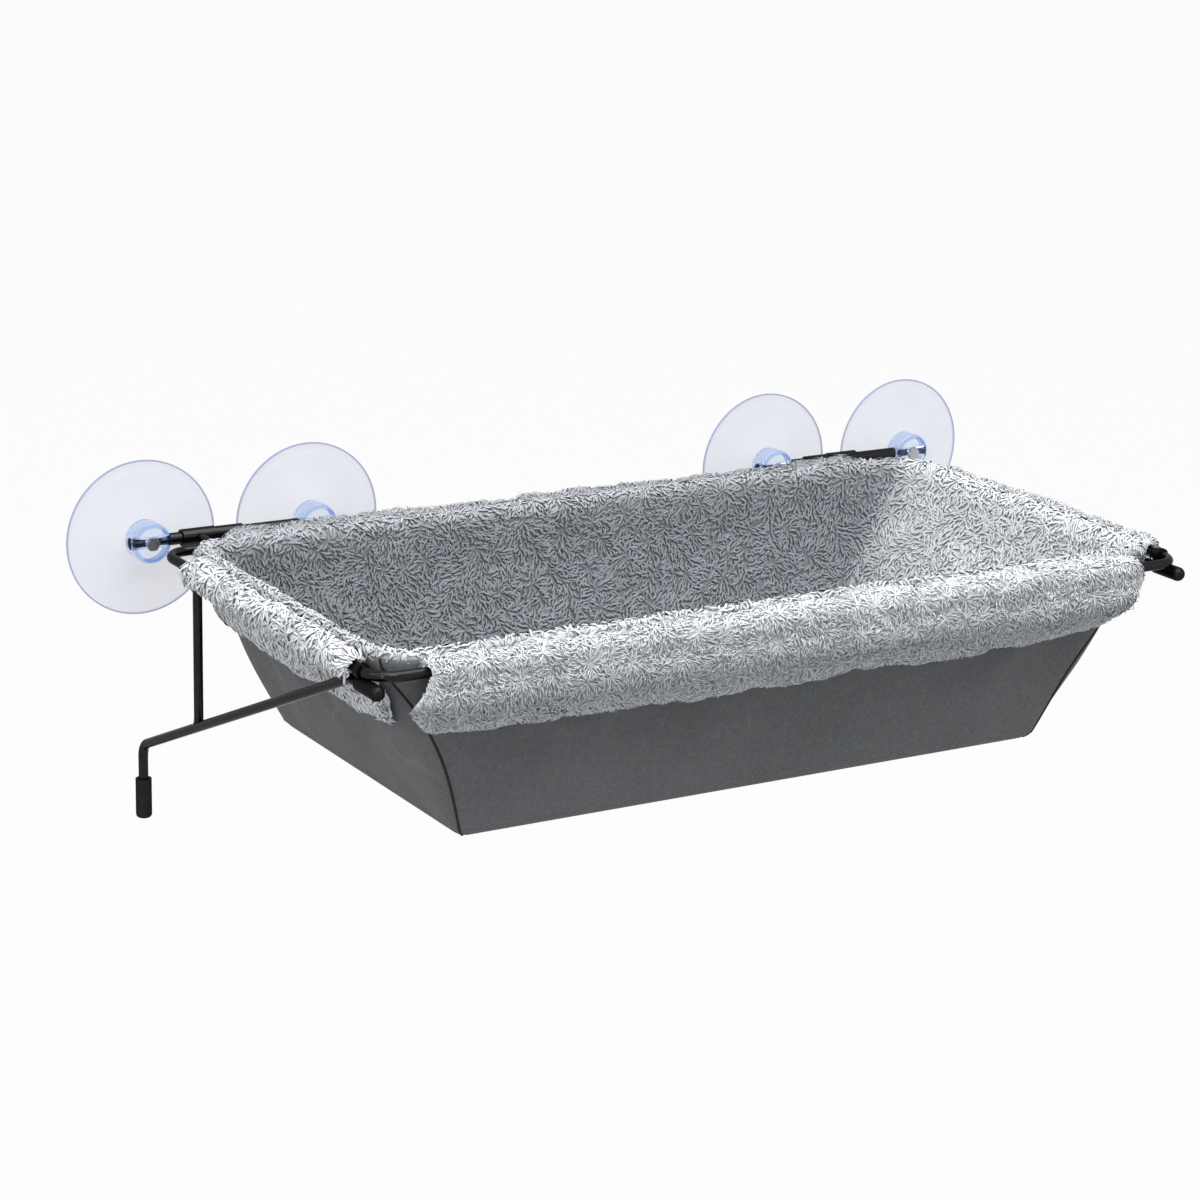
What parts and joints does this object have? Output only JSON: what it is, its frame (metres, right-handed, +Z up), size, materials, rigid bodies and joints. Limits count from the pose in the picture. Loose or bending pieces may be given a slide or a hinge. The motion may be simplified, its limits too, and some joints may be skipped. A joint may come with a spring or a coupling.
{
  "type": "window mounted cat perch",
  "caption": "Fleece-lined canvas cat bed in a wire rim, hung on a window by suction cups on short bars, propped by sloping side brackets, folding up about the bars.",
  "frame": {"origin": "on the plane of the window, level with the middle of the bars and half way along the bed", "axes": "+X along the window, with the bed's front to the viewer's side, +Y through the window to the outside, +Z up. The bed is on the -Y side."},
  "size_m": [0.699, 0.3514, 0.24],
  "materials": {
    "clear_vinyl": "clear flexible vinyl with a light blue tint",
    "zinc_steel": "zinc plated",
    "black_coating": "gloss black powder coating",
    "black_rubber": "matt moulded rubber",
    "black_plastic": "satin moulded plastic",
    "grey_canvas": "fine twill canvas",
    "grey_fleece": "long pile fleece, darker in its depth",
    "pale_fleece": "long pile fleece with light tips",
    "fibreboard": "plain hardboard",
    "foam": "open cell foam sheet"
  },
  "bodies": {
    "window_mounts": {"left_outer_cup": "clear_vinyl", "left_inner_cup": "clear_vinyl", "right_inner_cup": "clear_vinyl", "right_outer_cup": "clear_vinyl", "cup_screws": "zinc_steel", "left_bar": "black_coating", "right_bar": "black_coating", "left_bar_collar": "black_coating", "right_bar_collar": "black_coating"},
    "bed_frame": {"left_tee": "black_coating", "right_tee": "black_coating", "rim_wire": "black_coating", "left_bracket": "black_coating", "right_bracket": "black_coating", "left_foot_cap": "black_rubber", "right_foot_cap": "black_rubber", "left_corner_clip": "black_plastic", "right_corner_clip": "black_plastic", "shell_front": "grey_canvas", "shell_right": "grey_canvas", "shell_rear": "grey_canvas", "shell_left": "grey_canvas", "shell_base": "grey_canvas", "liner_rear": "grey_fleece", "liner_left": "grey_fleece", "liner_floor": "grey_fleece", "liner_front": "pale_fleece", "liner_right": "pale_fleece", "front_cuff": "pale_fleece", "right_cuff": "pale_fleece", "rear_cuff": "pale_fleece", "left_cuff": "pale_fleece", "base_board": "fibreboard", "base_pad": "foam"}
  },
  "joints": [
    {"name": "bed_fold", "type": "hinge", "parent": "window_mounts", "child": "bed_frame", "pos_m": [0, -0.013, 0], "axis": [-1, 0, 0], "range_deg": [0, 75]}
  ]
}
